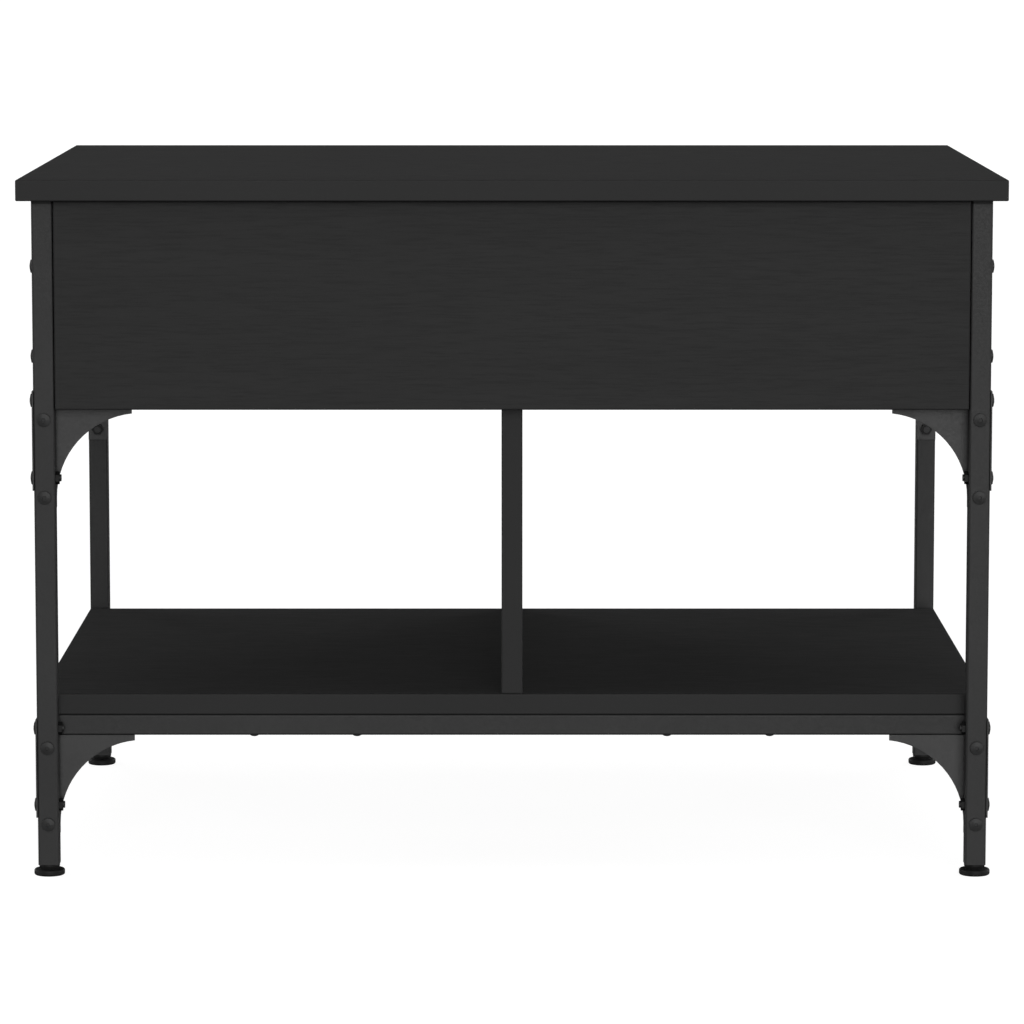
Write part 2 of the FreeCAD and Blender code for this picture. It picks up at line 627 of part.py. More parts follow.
def domed_fastener(name, radius, length, head_radius, head_height, tip="0"):
    """A bolt or screw along Z with its head above the XY plane, a domed top and a hexagon socket."""
    rise, top_radius = f"({head_height} - head_edge)", f"({head_radius} - head_round)"
    profile = [("0", f"-{length}"), (radius, "0"), (head_radius, "0"),
               (head_radius, "head_edge - head_round"), (top_radius, "head_edge"), ("0", head_height)]
    if number(tip) > 0:
        profile.insert(1, (radius, f"-{length} + {tip}"))
    else:
        profile.insert(1, (radius, f"-{length}"))
    dome = f"({top_radius}^2 + {rise}^2) / (2 * {rise})"
    fastener = turned(name, profile, {4: "head_round", 5: dome})
    socket = fastener.newObject("PartDesign::SubtractivePrism", f"{name}_socket")
    socket.Polygon = 6
    bind(socket, "Circumradius", "socket_radius")
    bind(socket, "Height", "2 * socket_depth")
    bind(socket, "Placement.Base.z", f"{head_height} - socket_depth")
    doc.recompute()
    return fastener


def build_leg_bolts():
    bolt = domed_fastener("leg_bolt_master", "bolt_radius", "bolt_length", "bolt_head_radius",
                          "bolt_head_height")
    nut = make_body("nut_master")
    prism = nut.newObject("PartDesign::AdditivePrism", "nut_prism")
    prism.Polygon = 6
    bind(prism, "Circumradius", "nut_radius")
    bind(prism, "Height", "nut_height")
    doc.recompute()
    drill(nut, "XY_Plane", "-nut_height", "3 * nut_height", [("0", "0", BOLT_HOLE)])
    heads, nuts = [], []
    for _, sign_x, sign_y in CORNERS:
        x, y = f"{sign_x} * {LEG_X}", f"{sign_y} * {LEG_Y}"
        face = f"{sign_y} * ({LEG_Y} + tube_size / 2)"
        nut_face = f"{sign_y} * ({LEG_Y} - tube_size / 2 - gusset_thickness)"
        for height in FACE_BOLTS:
            heads.append(((x, face, height), facing(0, sign_y, 0)))
            nuts.append(((x, nut_face, height), facing(0, -sign_y, 0)))
        side = f"{sign_x} * ({FRAME_X} + gusset_thickness)"
        nut_side = f"{sign_x} * ({LEG_X} - tube_size / 2)"
        for height in NUTTED_SIDE_BOLTS:
            heads.append(((side, y, height), facing(sign_x, 0, 0)))
            nuts.append(((nut_side, y, height), facing(-sign_x, 0, 0)))
    group("leg_bolts", bolt, heads)
    group("leg_nuts", nut, nuts)


def build_panel_screws():
    screw = domed_fastener("panel_screw_master", "bolt_radius", "panel_screw_length", "bolt_head_radius",
                           "bolt_head_height", "screw_tip")
    places = []
    for _, sign_x, sign_y in CORNERS:
        for height in PANEL_SCREWS:
            plate = "gusset_thickness" if height == PLATE_PANEL_SCREW else "0"
            place = (f"{sign_x} * ({FRAME_X} + {plate})", f"{sign_y} * {LEG_Y}", height)
            places.append((place, facing(sign_x, 0, 0)))
    group("panel_screws", screw, places)


def build_rail_screws():
    screw = domed_fastener("rail_screw_master", "rail_screw_radius", "rail_screw_length",
                           "rail_head_radius", "bolt_head_height", "screw_tip")
    down = facing(0, 0, -1)
    spots = [(LOWER, "-1"), (UPPER, "-1"), (UPPER, "1")]
    places = [((f"{side} * {reach}", f"{end} * {RAIL_Y}", base), down)
              for base, end in spots for side in (-1, 1)
              for reach in ("rail_screw_inner", "rail_screw_outer")]
    places += [((f"{side} * {LEG_X}", "rail_screw_side", LOWER), down) for side in (-1, 1)]
    group("rail_screws", screw, places)


def build_dowels():
    dowel = turned("dowel_master", [("0", "-dowel_length / 2"), ("dowel_radius", "-dowel_length / 2"),
                                    ("dowel_radius", "dowel_length / 2"), ("0", "dowel_length / 2")])
    places = [((f"{side} * {SIDE_PANEL_X}", f"{end} * dowel_spread", BOX_FLOOR), None)
              for side in (-1, 1) for end in (-1, 1)]
    for height in (f"{LOWER} + tube_size + board_thickness", f"{UPPER} + tube_size"):
        places += [(("0", along, height), None) for along in DIVIDER_DOWELS]
    group("dowels", dowel, places)


def build_bracket_screws():
    screw = domed_fastener("bracket_screw_master", "bracket_screw_radius", "bracket_screw_length",
                           "bracket_head_radius", "bolt_head_height", "screw_tip")
    base, top = [], []
    for side in (-1, 1):
        flange = f"{side} * ({BOX_INNER_X} - (base_flange_width + bracket_thickness) / 2)"
        base += [((flange, f"{REAR_PIVOT[0]} + {along}", f"{BOX_FLOOR} + bracket_thickness"), None)
                 for along in BASE_SCREWS]
        base += [((f"{side} * ({BOX_INNER_X} - bracket_thickness)", f"{REAR_PIVOT[0]} + {along}",
                   f"{BOX_FLOOR} + {up}"), facing(-side, 0, 0)) for along, up in BASE_SIDE_SCREWS]
        lid = f"{side} * ({BOX_INNER_X} - {TOP_BRACKET_OUTER} - (top_flange_width + bracket_thickness) / 2)"
        top += [((lid, f"{REAR_TOP_PIVOT[0]} + {along}", f"{LID_UNDERSIDE} - bracket_thickness"),
                 facing(0, 0, -1)) for along in TOP_SCREWS]
    group("base_bracket_screws", screw, base)
    group("top_bracket_screws", screw, top)


# --- lift mechanism -------------------------------------------------------------------------------------

def mirrored(source, name):
    copy = doc.addObject("Part::Mirroring", name)
    copy.Source = source
    copy.Normal = Vector(1, 0, 0)
    return finished(copy, name)


def angle_bracket(name, outline, flange_low, flange_high, flange_start, holes, flange_holes, towards_left):
    """Sheet bent to an L: a shaped plate beside the YZ plane and a flange on the XY plane."""
    body = make_body(name)
    plate = new_sketch(body, "YZ_Plane")
    draw_outline(plate, outline)
    pad(body, plate, "bracket_thickness", backwards=towards_left)
    round_edges(body, "bracket_corner",
                lambda edge: runs_along(edge, Vector(1, 0, 0)) and abs(edge.CenterOfMass.z) > 1)
    flange = new_sketch(body, "XY_Plane", flange_start)
    draw_rectangle(flange, flange_low, flange_high)
    pad(body, flange, "bracket_thickness")
    drill(body, "YZ_Plane", "-3 * bracket_thickness", "6 * bracket_thickness", holes)
    drill(body, "XY_Plane", "-3 * bracket_thickness", "6 * bracket_thickness", flange_holes)
    return body


def build_base_brackets():
    """The bracket screwed to the box floor and side, with both base pivots and the stop pin."""
    def from_pivot(point):
        return f"({point[0]} - {REAR_PIVOT[0]})", f"({point[1]} - {BOX_FLOOR})"

    rear, front, stop = from_pivot(REAR_PIVOT), from_pivot(FRONT_PIVOT), from_pivot(STOP_PIN)
    margin = "bracket_margin"
    outline = [
        (f"{stop[0]} - {margin}", "0"),
        ("base_bracket_rear", "0"),
        ("base_bracket_rear", "base_bracket_lip"),
        (f"{rear[0]} + {margin}", f"{rear[1]} + {margin}"),
        (f"{front[0]} + {margin}", f"{front[1]} + {margin}"),
        (f"{stop[0]} + {margin}", f"{stop[1]} + {margin}"),
        (f"{stop[0]} - {margin}", f"{stop[1]} + {margin}"),
    ]
    holes = [rear + (PIN_HOLE,), front + (PIN_HOLE,), stop + ("stop_shank + pin_fit",)]
    holes += [(along, up, BRACKET_HOLE) for along, up in BASE_SIDE_SCREWS]
    flange_holes = [("-(base_flange_width + bracket_thickness) / 2", along, BRACKET_HOLE)
                    for along in BASE_SCREWS]
    bracket = angle_bracket("base_bracket_right", outline, ("-base_flange_width", outline[0][0]),
                            ("0", "base_bracket_rear"), "0", holes, flange_holes, towards_left=True)
    put(bracket, (BOX_INNER_X, REAR_PIVOT[0], BOX_FLOOR))
    finished(bracket, bracket.Label)
    mirrored(bracket, "base_bracket_left")


def build_top_brackets():
    """The bracket screwed under the table top, with both upper pivots."""
    down = f"({REAR_TOP_PIVOT[1]} - {LID_UNDERSIDE})"
    front = ("(-pivot_step_forward)", f"({down} + pivot_step_up)")
    margin = "bracket_margin"
    outline = [
        ("-top_bracket_half", "0"),
        ("-top_bracket_half", "-top_bracket_lip"),
        (f"{front[0]} - {margin}", f"{front[1]} - {margin}"),
        (f"-{margin}", f"{down} - {margin}"),
        (margin, f"{down} - {margin}"),
        ("top_bracket_half", "-top_bracket_lip"),
        ("top_bracket_half", "0"),
    ]
    holes = [("0", down, PIN_HOLE), front + (PIN_HOLE,)]
    flange_holes = [("-(top_flange_width - bracket_thickness) / 2", along, BRACKET_HOLE)
                    for along in TOP_SCREWS]
    bracket = angle_bracket("top_bracket_right", outline,
                            ("bracket_thickness - top_flange_width", "-top_bracket_half"),
                            ("bracket_thickness", "top_bracket_half"), "-bracket_thickness",
                            holes, flange_holes, towards_left=False)
    put(bracket, (f"{BOX_INNER_X} - {TOP_BRACKET_INNER}", REAR_TOP_PIVOT[0], LID_UNDERSIDE))
    finished(bracket, bracket.Label)
    mirrored(bracket, "top_bracket_left")


def build_arms():
    """Four flat arms with round ends; the rear ones have a hole for the spring."""
    angle = math.radians(number("rest_angle"))
    turn = axes((0, math.cos(angle), math.sin(angle)), (0, -math.sin(angle), math.cos(angle)))
    for kind, pivot in (("rear", REAR_PIVOT), ("front", FRONT_PIVOT)):
        for side, sign in (("left", -1), ("right", 1)):
            arm = make_body(f"{kind}_arm_{side}")
            bar = new_sketch(arm, "XY_Plane")
            draw_rectangle(bar, ("0", "-arm_width / 2"), ("arm_length", "arm_width / 2"))
            pad(arm, bar, "arm_thickness")
            ends = new_sketch(arm, "XY_Plane")
            draw_circles(ends, [("0", "0", "arm_boss"), ("arm_length", "0", "arm_boss")])
            pad(arm, ends, "arm_thickness")
            holes = [("0", "0", PIN_HOLE), ("arm_length", "0", PIN_HOLE)]
            if kind == "rear":
                holes.append(("spring_reach", "0", "spring_wire + 2 * hole_slack"))
            drill(arm, "XY_Plane", "-arm_thickness", "3 * arm_thickness", holes)
            layer = ARM_INNER if sign > 0 else ARM_OUTER
            put(arm, (f"{sign} * ({BOX_INNER_X} - {layer})",) + pivot, turn)
            finished(arm, arm.Label)


def at_pivots(inward, pivots):
    """Places at both sides of the box, the given distance in from the side panels, Z axis inwards."""
    return [((f"{side} * ({BOX_INNER_X} - {inward})",) + pivot, facing(-side, 0, 0))
            for side in (-1, 1) for pivot in pivots]


def headed_pin(name, length):
    """A pin along -Z from the underside of its flat head."""
    return turned(name, [("0", f"-({length})"), ("pin_radius", f"-({length})"), ("pin_radius", "0"),
                         ("pin_head_radius", "0"), ("pin_head_radius", "pin_head"), ("0", "pin_head")])


def build_pivots():
    bush_end = f"({ARM_INNER} + {WASHER_LAYER} + bush_length + play)"
    rear_pin = headed_pin("rear_pin_master", f"{bush_end} - play")
    group("rear_pivot_pins", rear_pin, at_pivots(bush_end, [REAR_PIVOT]))
    front_pin = headed_pin("front_pin_master", f"{ARM_INNER} + {WASHER_LAYER} - play")
    group("front_pivot_pins", front_pin, at_pivots(f"({ARM_INNER} + {WASHER_LAYER})", [FRONT_PIVOT]))

    grip = f"({TOP_BRACKET_INNER} - {ARM_OUTER} + play)"
    rivet = turned("rivet_master", [
        ("0", f"-{grip} - pin_head"),
        ("pin_head_radius", f"-{grip} - pin_head"),
        ("pin_head_radius", f"-{grip}"),
        ("pin_radius", f"-{grip}"),
        ("pin_radius", "0"),
        ("rivet_button", "0"),
        ("rivet_button", "pin_head"),
        ("0", "pin_head"),
    ])
    group("top_pivot_rivets", rivet, at_pivots(TOP_BRACKET_INNER, [REAR_TOP_PIVOT, FRONT_TOP_PIVOT]))

    washer = turned("washer_master", [(PIN_HOLE, "0"), ("washer_radius", "0"),
                                      ("washer_radius", "washer_thickness"), (PIN_HOLE, "washer_thickness")])
    base_pivots = [REAR_PIVOT, FRONT_PIVOT]
    outer = at_pivots("(bracket_thickness + play)", base_pivots)
    inner = at_pivots(f"({ARM_INNER} + play)", base_pivots)
    group("base_pivot_washers", washer, outer + inner)
    upper = at_pivots(f"({ARM_INNER} + play)", [REAR_TOP_PIVOT, FRONT_TOP_PIVOT])
    group("top_pivot_washers", washer, upper)

    bush = turned("bush_master", [(PIN_HOLE, "0"), ("bush_radius", "0"),
                                  ("bush_radius", "bush_length"), (PIN_HOLE, "bush_length")])
    group("spring_bushes", bush, at_pivots(f"({ARM_INNER} + {WASHER_LAYER})", [REAR_PIVOT]))

    stop = turned("stop_master", [("0", "-bracket_thickness + play"),
                                  ("stop_shank", "-bracket_thickness + play"),
                                  ("stop_shank", "0"), ("stop_radius", "0"),
                                  ("stop_radius", "stop_length"), ("0", "stop_length")])
    group("stop_pins", stop, at_pivots("bracket_thickness", [STOP_PIN]))


def spring_wire_path():
    """Middle line of the torsion spring: bent end, arm leg, coil and fixed leg, each tangent to the next.

    The pivot is the Z axis, X points back, Y up, and the arm leg ends on the XY plane. The legs keep the
    slope of the coil, so nothing kinks where they leave it.
    """
    radius, pitch = number("spring_radius"), number("spring_pitch")
    slope = pitch / (2 * math.pi * radius)
    arm_angle, reach = math.radians(number("rest_angle")), number("spring_reach")
    foot = Vector(-number("spring_foot_forward"), -number("spring_foot_down"), 0)
    first_angle = arm_angle + math.acos(radius / reach)
    last_angle = math.atan2(foot.y, foot.x) + 2 * math.pi - math.acos(radius / foot.Length)
    sweep = last_angle - first_angle + 2 * math.pi * number("spring_turns")
    coil_start = slope * math.sqrt(reach**2 - radius**2)
    coil_end = coil_start + slope * radius * sweep
    foot.z = coil_end + slope * math.sqrt(foot.Length**2 - radius**2)

    helix = Part.makeHelix(pitch, coil_end - coil_start, radius)
    helix.rotate(Vector(), Vector(0, 0, 1), math.degrees(first_angle))
    helix.translate(Vector(0, 0, coil_start))
    leg_start = Vector(radius * math.cos(first_angle), radius * math.sin(first_angle), coil_start)
    leg_end = Vector(radius * math.cos(last_angle), radius * math.sin(last_angle), coil_end)

    corner = Vector(reach * math.cos(arm_angle), reach * math.sin(arm_angle), 0)
    inward, outward = (leg_start - corner).normalize(), Vector(0, 0, -1)
    half_turn = (math.pi - math.acos(inward.dot(outward))) / 2
    bend = number("spring_bend")
    bend_start = corner + outward * bend * math.tan(half_turn)
    bend_end = corner + inward * bend * math.tan(half_turn)
    bend_middle = corner + (inward + outward).normalize() * bend * (1 / math.cos(half_turn) - 1)
    tang_end = corner + outward * number("spring_tang")
    edges = [
        Part.LineSegment(tang_end, bend_start).toShape(),
        Part.Arc(bend_start, bend_middle, bend_end).toShape(),
        Part.LineSegment(bend_end, leg_start).toShape(),
        *helix.Edges,
        Part.LineSegment(leg_end, foot).toShape(),
    ]
    return Part.Wire(edges), tang_end


def build_springs():
    """Torsion springs about the rear pivots: one end in the arm's hole, the other on the bracket's flange."""
    path, tang_end = spring_wire_path()
    section = Part.Wire([Part.makeCircle(number("spring_wire"), tang_end, Vector(0, 0, 1))])
    spring = doc.addObject("Part::Feature", "spring_left")
    spring.Shape = path.makePipeShell([section], True, True)
    wire_area = math.pi * number("spring_wire")**2
    if abs(spring.Shape.Volume / (wire_area * path.Length) - 1) > 0.01:
        raise RuntimeError("the spring's volume isn't its section times its length")
    arm_leg = f"({ARM_INNER} + spring_wire + spring_room)"
    put(spring, (f"{arm_leg} - {BOX_INNER_X}",) + REAR_PIVOT, axes((0, 1, 0), (0, 0, 1)))
    finished(spring, spring.Label)
    mirrored(spring, "spring_right")


# --- build, check, export -------------------------------------------------------------------------------

def check_document():
    doc.recompute()
    for thing in doc.Objects:
        if {"Invalid", "Error"} & set(thing.State):
            raise RuntimeError(f"{thing.Label} failed: {thing.State}")
    for thing in SUB_PARTS:
        shape = thing.Shape
        if shape.isNull() or not shape.isValid() or not shape.Solids:
            raise RuntimeError(f"{thing.Label} has no valid shape")


def export_parts():
    os.makedirs("parts", exist_ok=True)
    for thing in SUB_PARTS:
        thing.Shape.exportStep(f"parts/{thing.Label}.step")
    print(f"{len(SUB_PARTS)} sub-parts, {sum(len(thing.Shape.Solids) for thing in SUB_PARTS)} solids")


build_legs()
build_feet()
build_leg_caps()
build_rails()
build_gussets()
build_table_top()
build_shelf()
build_box_bottom()
build_box_walls()
build_divider()
build_leg_bolts()
build_panel_screws()
build_rail_screws()
build_dowels()
build_bracket_screws()
build_base_brackets()
build_top_brackets()
build_arms()
build_pivots()
build_springs()
check_document()
export_parts()
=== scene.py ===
import json
import math

import bmesh
import bpy
from mathutils import Matrix, Vector


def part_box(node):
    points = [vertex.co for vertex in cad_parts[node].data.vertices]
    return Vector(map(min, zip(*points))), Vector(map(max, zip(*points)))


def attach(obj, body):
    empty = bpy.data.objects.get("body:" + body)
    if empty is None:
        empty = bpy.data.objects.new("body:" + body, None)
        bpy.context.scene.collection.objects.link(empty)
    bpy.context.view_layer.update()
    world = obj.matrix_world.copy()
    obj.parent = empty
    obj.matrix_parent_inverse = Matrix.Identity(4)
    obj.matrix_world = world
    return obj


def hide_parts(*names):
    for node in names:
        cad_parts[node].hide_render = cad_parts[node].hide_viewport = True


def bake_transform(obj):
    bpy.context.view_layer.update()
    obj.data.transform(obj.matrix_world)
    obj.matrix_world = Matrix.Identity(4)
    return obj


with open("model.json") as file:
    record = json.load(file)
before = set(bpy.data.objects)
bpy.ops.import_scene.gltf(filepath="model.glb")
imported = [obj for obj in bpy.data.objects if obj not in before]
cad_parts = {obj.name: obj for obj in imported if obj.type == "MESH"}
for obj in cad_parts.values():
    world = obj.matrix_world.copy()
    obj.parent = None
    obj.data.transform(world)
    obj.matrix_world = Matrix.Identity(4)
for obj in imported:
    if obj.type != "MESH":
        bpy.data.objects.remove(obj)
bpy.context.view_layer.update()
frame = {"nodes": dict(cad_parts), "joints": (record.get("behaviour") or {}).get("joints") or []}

# Looks of the lift-top coffee table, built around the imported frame.
# Metres, +Z up, +X right, the front faces -Y. MM turns millimetres into metres.

MM = 0.001
CREVICE_REACH = 2.2 * MM  # how far off another surface the painted crevice shade still reaches
CREVICE_SHADE = 0.15  # share of the colour left in the tightest corner under the painted shade
joints = {joint["name"]: joint for joint in frame["joints"]}


# --- node trees ----------------------------------------------------------------------------------------

class Finish:
    """A material's node tree. A socket given as an input is linked, anything else is set on the input."""

    def __init__(self, name):
        self.material = bpy.data.materials.new(name)
        self.material.use_nodes = True
        self.tree = self.material.node_tree
        self.shader = self.tree.nodes["Principled BSDF"]
        self.place = self.add("TexCoord").outputs["Object"]

    def feed(self, socket, value):
        if isinstance(value, bpy.types.NodeSocket):
            self.tree.links.new(value, socket)
        else:
            socket.default_value = value

    def add(self, kind, inputs=None, **settings):
        node = self.tree.nodes.new("ShaderNode" + kind)
        for name, value in settings.items():
            setattr(node, name, value)
        for key, value in (inputs or {}).items():
            self.feed(node.inputs[key], value)
        return node

    def surface(self, **inputs):
        for name, value in inputs.items():
            self.feed(self.shader.inputs[name.replace("_", " ")], value)

    def math(self, operation, first, second=0.0):
        return self.add("Math", {0: first, 1: second}, operation=operation).outputs[0]

    def moved(self, scale=(1, 1, 1), offset=(0, 0, 0), place=None):
        """Object coordinates, stretched and shifted, so that grain can run along one axis."""
        inputs = {"Vector": place or self.place, "Scale": scale, "Location": offset}
        return self.add("Mapping", inputs).outputs["Vector"]

    def noise(self, scale, detail=2.0, roughness=0.5, place=None, distortion=0.0):
        inputs = {"Vector": place or self.place, "Scale": scale, "Detail": detail,
                  "Roughness": roughness, "Distortion": distortion}
        return self.add("TexNoise", inputs).outputs["Fac"]

    def between(self, value, low, high, low_in=0.3, high_in=0.7):
        """value, usually a noise, spread from low to high."""
        inputs = {"Value": value, "From Min": low_in, "From Max": high_in, "To Min": low, "To Max": high}
        return self.add("MapRange", inputs).outputs["Result"]

    def colours(self, value, stops):
        """Colour ramp through (place, colour) stops."""
        ramp = self.add("ValToRGB", {"Fac": value})
        ramp.color_ramp.elements[0].position = stops[0][0]
        ramp.color_ramp.elements[0].color = (*stops[0][1], 1)
        ramp.color_ramp.elements[1].position = stops[-1][0]
        ramp.color_ramp.elements[1].color = (*stops[-1][1], 1)
        for place, colour in stops[1:-1]:
            ramp.color_ramp.elements.new(place).color = (*colour, 1)
        return ramp.outputs["Color"]

    def mix(self, amount, first, second):
        """Blend of two colours."""
        mixer = self.add("Mix", {0: amount, 6: first, 7: second}, data_type="RGBA")
        return mixer.outputs[2]

    def blend_numbers(self, amount, first, second):
        return self.add("Mix", {0: amount, 2: first, 3: second}, data_type="FLOAT").outputs[0]

    def edges(self, radius):
        """1 along the edges of the piece and 0 on its faces."""
        rounded = self.add("Bevel", {"Radius": radius}, samples=4).outputs["Normal"]
        face = self.add("NewGeometry").outputs["Normal"]
        agreement = self.add("VectorMath", {0: rounded, 1: face}, operation="DOT_PRODUCT").outputs["Value"]
        return self.between(agreement, 1.0, 0.0, 0.9, 0.999)

    def painted_crevice_shade(self, colour):
        """colour with painted shade: darker where another surface stands close and would shadow it."""
        inputs = {"Color": (1, 1, 1, 1), "Distance": CREVICE_REACH}
        openness = self.add("AmbientOcclusion", inputs, samples=6).outputs["AO"]
        amount = self.between(openness, CREVICE_SHADE, 1.0, 0.35, 0.80)
        return self.mix(amount, (0, 0, 0, 1), colour)

    def relief(self, heights, softened=None):
        """Stacked bumps from (height, strength, depth) rows; softened rounds sharp edges first."""
        normal = None
        if softened:
            normal = self.add("Bevel", {"Radius": softened}, samples=4).outputs["Normal"]
        for height, strength, depth in heights:
            inputs = {"Height": height, "Strength": strength, "Distance": depth}
            if normal is not None:
                inputs["Normal"] = normal
            normal = self.add("Bump", inputs).outputs["Normal"]
        self.feed(self.shader.inputs["Normal"], normal)


def grey(value, warmth=0.0):
    """Linear grey, slightly warm for a positive warmth and cool for a negative one."""
    return (value * (1 + warmth), value, value * (1 - warmth))


# --- materials -----------------------------------------------------------------------------------------

BOARDS = {  # node: (axis that the grain follows, axis of the thickness)
    "table_top": (0, 2),
    "lower_shelf": (0, 2),
    "box_bottom": (0, 2),
    "box_front": (0, 1),
    "box_back": (0, 1),
    "box_left": (1, 0),
    "box_right": (1, 0),
    "bay_divider": (1, 0),
}
EDGING = 0.8 * MM  # thickness of the glued plastic edging


def board_finish(node, grain_axis, thickness_axis):
    """Black melamine board: an embossed pore grain on the faces, plain edging glued round the edges."""
    finish = Finish("melamine_" + node)
    low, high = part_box(node)
    middle, half = (low + high) / 2, (high - low) / 2
    shift = tuple(0.37 * (1 + len(node)) * value for value in (1, 2, 3))

    pores = [900.0, 900.0, 900.0]
    pores[grain_axis] = 45.0
    figure = [26.0, 26.0, 26.0]
    figure[grain_axis] = 1.6
    fine = finish.noise(1.0, 3.0, 0.6, finish.moved(pores, shift))
    bands = finish.noise(1.0, 4.0, 0.55, finish.moved(figure, shift), distortion=0.6)
    paper = finish.noise(2600.0, 2.0)
    cloud = finish.noise(3.5, 2.0)

    along = finish.add("SeparateXYZ", {0: finish.place})
    gaps = []
    for axis in range(3):
        if axis != thickness_axis:
            offset = finish.math("SUBTRACT", along.outputs[axis], middle[axis])
            gaps.append(finish.math("SUBTRACT", half[axis], finish.math("ABSOLUTE", offset)))
    to_edge = finish.math("MINIMUM", *gaps)
    normal = finish.add("SeparateXYZ", {0: finish.add("NewGeometry").outputs["True Normal"]})
    on_face = finish.math("GREATER_THAN", finish.math("ABSOLUTE", normal.outputs[thickness_axis]), 0.7)
    edging = finish.math("LESS_THAN", to_edge, EDGING)
    seam_distance = finish.math("ABSOLUTE", finish.math("SUBTRACT", to_edge, EDGING))
    seam = finish.math("MULTIPLY", finish.math("LESS_THAN", seam_distance, 0.07 * MM), on_face)
    plain = finish.math("MAXIMUM", edging, finish.math("SUBTRACT", 1.0, on_face))

    face_colour = finish.colours(bands, [(0.30, grey(0.0290)), (0.52, grey(0.0312)), (0.72, grey(0.0328))])
    pore_colour = finish.mix(finish.between(fine, 0.30, 0.0, 0.36, 0.50), face_colour, (*grey(0.0220), 1))
    edge_colour = finish.colours(cloud, [(0.35, grey(0.0260)), (0.65, grey(0.0292))])
    colour = finish.mix(plain, pore_colour, edge_colour)
    near_edges = finish.edges(0.9 * MM)
    colour = finish.mix(finish.math("MULTIPLY", near_edges, 0.35), colour, (*grey(0.050), 1))
    colour = finish.mix(seam, colour, (*grey(0.008), 1))

    face_roughness = finish.between(fine, 0.66, 0.54)
    roughness = finish.blend_numbers(plain, face_roughness, finish.between(paper, 0.46, 0.52))
    finish.surface(Base_Color=colour, Roughness=roughness, Specular_IOR_Level=0.12)
    depth = finish.math("MULTIPLY", finish.between(fine, 0.0, 1.0, 0.34, 0.56),
                        finish.math("SUBTRACT", 1.0, plain))
    finish.relief([(depth, 0.22, 0.10 * MM), (paper, 0.10, 0.04 * MM), (seam, -0.4, 0.08 * MM)])
    return finish.material


def powder_coat(name, colour, roughness=0.5, specular=0.25):
    """Matte black powder coat: orange peel, a fine speckle, edges a little lighter: partly rubbed wear,
    partly a painted highlight.
    """
    finish = Finish(name)
    peel = finish.noise(620.0, 2.0, 0.45)
    speckle = finish.noise(3800.0, 1.0)
    cloud = finish.noise(9.0, 3.0)
    base = finish.colours(cloud, [(0.30, grey(colour * 0.90)), (0.70, grey(colour * 1.08))])
    base = finish.mix(finish.between(speckle, 0.0, 0.22, 0.55, 0.72), base, (*grey(colour * 1.9), 1))
    # lighter edges: partly rubbed wear, partly a painted highlight along each edge
    near_edges = finish.edges(0.5 * MM)
    base = finish.mix(finish.math("MULTIPLY", near_edges, 0.25), base, (*grey(colour * 1.8), 1))
    # painted shade: darker where parts touch or stand close
    base = finish.painted_crevice_shade(base)
    rough = finish.between(peel, roughness - 0.06, roughness + 0.07)
    rough = finish.math("SUBTRACT", rough, finish.math("MULTIPLY", near_edges, 0.10))
    finish.surface(Base_Color=base, Roughness=rough, Specular_IOR_Level=specular)
    finish.relief([(peel, 0.16, 0.12 * MM), (speckle, 0.10, 0.03 * MM)], softened=0.35 * MM)
    return finish.material


def satin_coat(name, colour):
    """Thin electro-coat on the lift's arms and brackets: smoother and glossier than powder."""
    finish = Finish(name)
    rolled = finish.noise(1.0, 3.0, 0.6, finish.moved((300, 60, 900)))
    cloud = finish.noise(14.0, 3.0)
    base = finish.colours(cloud, [(0.30, grey(colour * 0.85, -0.02)), (0.70, grey(colour * 1.12, -0.02))])
    near_edges = finish.edges(0.45 * MM)
    chips = finish.between(finish.noise(420.0, 4.0, 0.7), 0.0, 1.0, 0.46, 0.62)
    rubbed = finish.math("MULTIPLY", near_edges, finish.math("ADD", finish.math("MULTIPLY", chips, 0.5), 0.25))
    base = finish.mix(rubbed, base, (*grey(0.16), 1))
    rough = finish.between(cloud, 0.34, 0.44)
    finish.surface(Base_Color=base, Roughness=rough, Specular_IOR_Level=0.45, Metallic=0.15)
    finish.relief([(rolled, 0.06, 0.05 * MM)], softened=0.3 * MM)
    return finish.material


def black_zinc(name, low, high, specular):
    """Black plated fasteners, mottled from a low to a high grey, a little brighter where a tool rubbed."""
    finish = Finish(name)
    grain = finish.noise(2400.0, 2.0)
    patches = finish.noise(260.0, 3.0)
    base = finish.colours(patches, [(0.32, grey(low, 0.02)), (0.68, grey(high, -0.02))])
    near_edges = finish.edges(0.35 * MM)
    base = finish.mix(finish.math("MULTIPLY", near_edges, 0.25), base, (*grey(3 * low), 1))
    # painted shade: darker where the fastener touches or stands close to another part
    base = finish.painted_crevice_shade(base)
    rough = finish.between(grain, 0.46, 0.56)
    finish.surface(Base_Color=base, Roughness=rough, Specular_IOR_Level=specular)
    finish.relief([(grain, 0.08, 0.03 * MM)])
    return finish.material


def moulded_plastic(name):
    """Black moulded plastic of the feet and the leg caps, with a spark-eroded texture."""
    finish = Finish(name)
    texture = finish.noise(2900.0, 3.0, 0.6)
    cloud = finish.noise(60.0, 2.0)
    base = finish.colours(cloud, [(0.35, grey(0.0050)), (0.65, grey(0.0080))])
    near_edges = finish.edges(0.5 * MM)
    base = finish.mix(finish.math("MULTIPLY", near_edges, 0.30), base, (*grey(0.022), 1))
    finish.surface(Base_Color=base, Roughness=finish.between(texture, 0.50, 0.66), Specular_IOR_Level=0.25)
    finish.relief([(texture, 0.22, 0.05 * MM)])
    return finish.material


